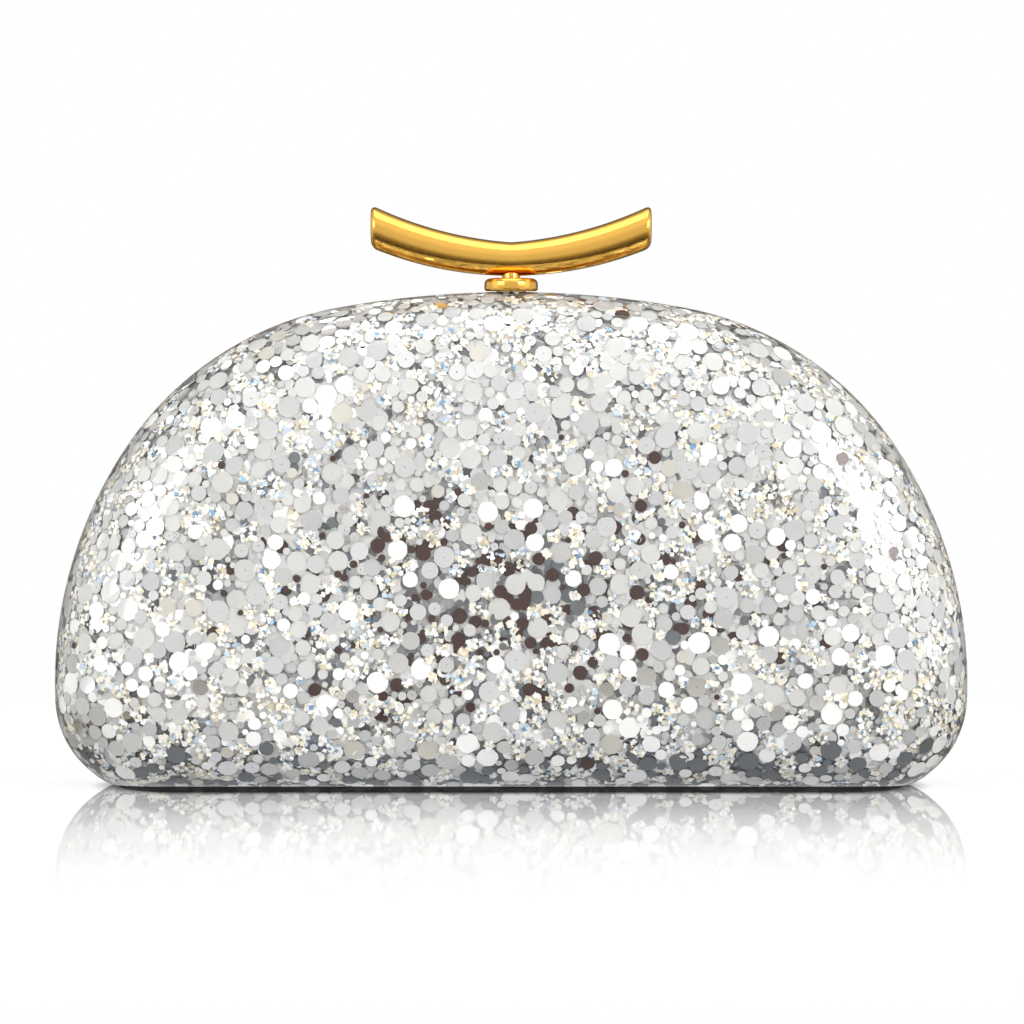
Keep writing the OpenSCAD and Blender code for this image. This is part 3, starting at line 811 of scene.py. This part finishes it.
class CLUTCH_OT_metalwork(bpy.types.Operator):
    """Finish the frames, hinge and catch"""

    bl_idname = "clutch.metalwork"
    bl_label = "Finish Metalwork"

    def execute(self, context):
        frame_gold = polished_gold("gold_plated_frame", finish_of(context).gold, 0.16)
        brass = turned_metal("turned_brass", "#D8B26A", 0.22, (1, 1, 8))
        steel = turned_metal("brushed_steel", "#B9BABC", 0.28, (0.1, 1, 1))
        spring = turned_metal("rolled_spring_steel", "#9C9EA2", 0.24, (1, 0.1, 1))
        finishes = {"gold_frame": frame_gold, "brass_parts": brass, "steel_parts": steel,
                    "spring_steel": spring}
        for part in frame["record"]["subparts"]:
            finish = finishes.get(part["material_slot"])
            if finish is None:
                continue
            piece = frame["nodes"][part["node"]]
            piece.data.materials.clear()
            piece.data.materials.append(finish)
        return {"FINISHED"}


class CLUTCH_OT_studio(bpy.types.Operator):
    """Set up the table, lamps, surroundings and camera"""

    bl_idname = "clutch.studio"
    bl_label = "Set Up Studio"

    def execute(self, context):
        self.table()
        self.lamps()
        self.surroundings(context)
        self.camera(context)
        context.scene.view_settings.view_transform = "Standard"
        return {"FINISHED"}

    def table(self):
        """White acrylic: a faint reflection close to the purse, a painted black contact shadow along its
        base and painted shade in its gloss; plain white further off.
        """
        material, tree, shader = material_tree("white_acrylic_table")
        shader_values(shader, Base_Color=linear("#F4F4F4"), Roughness=0.6)
        place = node(tree, "ShaderNodeNewGeometry").outputs["Position"]
        apart = node(tree, "ShaderNodeSeparateXYZ", {"Vector": place})
        side = node(tree, "ShaderNodeMath", {0: apart.outputs["X"]}, operation="ABSOLUTE")
        past = node(tree, "ShaderNodeMath", {0: side.outputs["Value"], 1: SHADE_SQUEEZE,
                                             2: -BASE_HALF * SHADE_SQUEEZE}, operation="MULTIPLY_ADD")
        beyond = node(tree, "ShaderNodeMath", {0: past.outputs["Value"], 1: 0.0}, operation="MAXIMUM")
        from_base = node(tree, "ShaderNodeCombineXYZ", {"X": beyond.outputs["Value"],
                                                        "Y": apart.outputs["Y"]})
        away = node(tree, "ShaderNodeVectorMath", {0: from_base.outputs["Vector"]}, operation="LENGTH")

        def falling(near, far, high, bend=1.0):
            """high within near of the base's middle line, falling to nothing at far from it."""
            share = node(tree, "ShaderNodeMapRange", {"Value": away.outputs["Value"], "From Min": near,
                                                      "From Max": far, "To Min": 1.0, "To Max": 0.0})
            bent = node(tree, "ShaderNodeMath", {0: share.outputs["Result"], 1: bend}, operation="POWER")
            return node(tree, "ShaderNodeMath", {0: bent.outputs["Value"], 1: high},
                        operation="MULTIPLY").outputs["Value"]

        white = node(tree, "ShaderNodeEmission", {"Color": (1, 1, 1, 1), "Strength": 1.0})
        black = node(tree, "ShaderNodeEmission", {"Color": (0, 0, 0, 1), "Strength": 1.0})
        lit = node(tree, "ShaderNodeMixShader", {0: falling(0.1, 0.5, 0.5), 1: white.outputs["Emission"],
                                                 2: shader.outputs["BSDF"]})
        gloss = node(tree, "ShaderNodeBsdfGlossy", {"Color": (1, 1, 1, 1), "Roughness": 0.025})
        glance = node(tree, "ShaderNodeLayerWeight", {"Blend": 0.5}).outputs["Facing"]
        steep = node(tree, "ShaderNodeMath", {0: glance, 1: 4.0}, operation="POWER")
        mirror = node(tree, "ShaderNodeMath", {0: steep.outputs["Value"],
                                               1: falling(0.06, 0.46, 0.92, 2.4)}, operation="MULTIPLY")
        polished = node(tree, "ShaderNodeMixShader", {0: mirror.outputs["Value"],
                                                      1: lit.outputs["Shader"], 2: gloss.outputs["BSDF"]})
        # painted contact shadow: black emission along the base line, seen by the camera
        painted_contact_shadow = node(tree, "ShaderNodeMath", {0: glance, 1: falling(0.031, 0.046, 1.0, 1.4)},
                       operation="MULTIPLY")
        sweep = node(tree, "ShaderNodeMixShader", {0: painted_contact_shadow.outputs["Value"],
                                                   1: polished.outputs["Shader"],
                                                   2: black.outputs["Emission"]})
        # Gloss sees the purse's own shade on the table, and the room beyond it.
        shade = node(tree, "ShaderNodeEmission", {"Color": linear("#CFD0D3"), "Strength": 1.0})
        open_room = node(tree, "ShaderNodeBsdfTransparent")
        reflected = node(tree, "ShaderNodeMixShader", {0: falling(0.034, 0.08, 1.0),
                                                       1: open_room.outputs["BSDF"],
                                                       2: shade.outputs["Emission"]})
        path = node(tree, "ShaderNodeLightPath")
        unseen = node(tree, "ShaderNodeMixShader", {0: path.outputs["Is Glossy Ray"],
                                                    1: white.outputs["Emission"],
                                                    2: reflected.outputs["Shader"]})
        seen = node(tree, "ShaderNodeMixShader", {0: path.outputs["Is Camera Ray"],
                                                  1: unseen.outputs["Shader"], 2: sweep.outputs["Shader"]})
        tree.links.new(seen.outputs["Shader"], tree.nodes["Material Output"].inputs["Surface"])
        edge = 6.0  # metres from the middle, well out of view
        corners = [(-edge, -edge, 0), (edge, -edge, 0), (edge, edge, 0), (-edge, edge, 0)]
        table = new_piece("table", corners, [(0, 1, 2, 3)], material, smooth=False)

    def lamps(self):
        # each lamp's place, what it points at, its side in metres and its watts
        lamps = {
            "top_softbox": ((0.0, -0.15, 1.2), (0, 0, 0.06), 0.9, 4.0),
            "rear_softbox": ((0.0, 1.0, 0.7), (0, 0, 0.06), 0.7, 6.0),
            "front_left_softbox": ((-0.9, -0.9, 0.5), (0, 0, 0.05), 0.6, 4.8),
            "front_right_softbox": ((0.9, -0.9, 0.5), (0, 0, 0.05), 0.6, 7.0),
        }
        for name, (place, aim, size, watts) in lamps.items():
            light = bpy.data.lights.new(name, "AREA")
            light.shape = "SQUARE"
            light.size = size
            light.energy = watts
            lamp = bpy.data.objects.new(name, light)
            lamp.location = place
            lamp.visible_glossy = name != "rear_softbox"  # its mirror image would wash out the rim
            away = np.array(place) - np.array(aim)
            lamp.rotation_euler = (math.atan2(math.hypot(away[0], away[1]), away[2]), 0.0,
                                   math.atan2(away[0], -away[1]))
            bpy.context.scene.collection.objects.link(lamp)

    def surroundings(self, context):
        """White for the camera; for the gloss, a grey room with light panels and a dim far wall."""
        world = bpy.data.worlds.new("studio")
        context.scene.world = world
        world.use_nodes = True
        tree = world.node_tree
        background = tree.nodes["Background"]
        direction = node(tree, "ShaderNodeTexCoord").outputs["Generated"]
        axes = node(tree, "ShaderNodeSeparateXYZ", {"Vector": direction})

        def near(aim, inner, outer):
            """1 inside a cone of inner degrees about aim, falling to 0 at outer degrees."""
            length = math.sqrt(sum(c * c for c in aim))
            toward = node(tree, "ShaderNodeVectorMath", {0: direction, 1: tuple(c / length for c in aim)},
                          operation="DOT_PRODUCT")
            return node(tree, "ShaderNodeMapRange",
                        {"Value": toward.outputs["Value"], "From Min": math.cos(math.radians(outer)),
                         "From Max": math.cos(math.radians(inner))}).outputs["Result"]

        height = node(tree, "ShaderNodeMapRange", {"Value": axes.outputs["Z"], "From Min": -1.0,
                                                   "From Max": 1.0}).outputs["Result"]
        room = node(tree, "ShaderNodeValToRGB", {"Fac": height},
                    [(0.0, "#4A4641"), (1.0, "#D9D6D0"), (0.15, "#50483E"), (0.28, "#8E877C"),
                     (0.36, "#CDCAC4"), (0.43, "#E8E8E8"), (0.6, "#EEEEEE"), (0.78, "#E6E4E0")])
        layers = [
            (near((0, -0.6, 0.8), 22, 40), "#FFFFFF", 1.1),  # overhead panel, the bar's highlight
            (near((0, 1, 0.15), 40, 56), "#7A7672", 1.0),  # dim far wall, the rim's dark edge
            (near((0, 1, 0), 11, 15), "#FFFFFF", 1.0),  # white sweep that the table mirrors
            (near((-1, -0.35, 0.3), 12, 24), "#FFFFFF", 1.4),  # side panels, the case's side glints
            (near((1, -0.35, 0.3), 12, 24), "#FFFFFF", 1.4),
        ]
        colour = room.outputs["Color"]
        for factor, hex_code, strength in layers:
            tint = tuple(c * strength for c in linear(hex_code)[:3]) + (1.0,)
            mix = node(tree, "ShaderNodeMix", {"Factor": factor, 6: colour, 7: tint}, data_type="RGBA")
            colour = mix.outputs[2]
        path = node(tree, "ShaderNodeLightPath")
        final = node(tree, "ShaderNodeMix", {"Factor": path.outputs["Is Camera Ray"], 6: colour,
                                             7: (1.0, 1.0, 1.0, 1.0)}, data_type="RGBA")
        tree.links.new(final.outputs[2], background.inputs["Color"])

    def camera(self, context):
        camera = bpy.data.cameras.new("camera")
        distance = 1.1
        view_width = 235.8 * MM  # what the picture takes in at the case
        camera.sensor_width = 36.0
        camera.lens = camera.sensor_width * distance / view_width
        stand = bpy.data.objects.new("camera", camera)
        stand.location = (0.2 * MM, -distance, 62.7 * MM)
        stand.rotation_euler = (math.pi / 2, 0.0, 0.0)
        context.scene.collection.objects.link(stand)
        context.scene.camera = stand


STEPS = (CLUTCH_OT_resin, CLUTCH_OT_glitter, CLUTCH_OT_linings, CLUTCH_OT_turn_bar, CLUTCH_OT_turnings,
         CLUTCH_OT_metalwork, CLUTCH_OT_studio)


class CLUTCH_PT_panel(bpy.types.Panel):
    """The clutch's settings and steps"""

    bl_label = "Glitter Box Clutch"
    bl_idname = "CLUTCH_PT_panel"
    bl_space_type = "VIEW_3D"
    bl_region_type = "UI"
    bl_category = "Clutch"

    def draw(self, context):
        for settings in (sizes_of(context), finish_of(context)):
            for key in settings.__annotations__:
                self.layout.prop(settings, key)
        for step in STEPS:
            self.layout.operator(step.bl_idname)


CLASSES = (ClutchSizes, ClutchFinish, *STEPS, CLUTCH_PT_panel)


def register():
    for item in CLASSES:
        bpy.utils.register_class(item)
    bpy.types.Scene.clutch_sizes = PointerProperty(type=ClutchSizes)
    bpy.types.Scene.clutch_finish = PointerProperty(type=ClutchFinish)


def unregister():
    del bpy.types.Scene.clutch_finish
    del bpy.types.Scene.clutch_sizes
    for item in reversed(CLASSES):
        bpy.utils.unregister_class(item)


def main():
    register()
    bpy.ops.clutch.resin()
    bpy.ops.clutch.glitter()
    bpy.ops.clutch.linings()
    bpy.ops.clutch.turn_bar()
    bpy.ops.clutch.turnings()
    bpy.ops.clutch.metalwork()
    bpy.ops.clutch.studio()


if __name__ == "__main__":
    main()
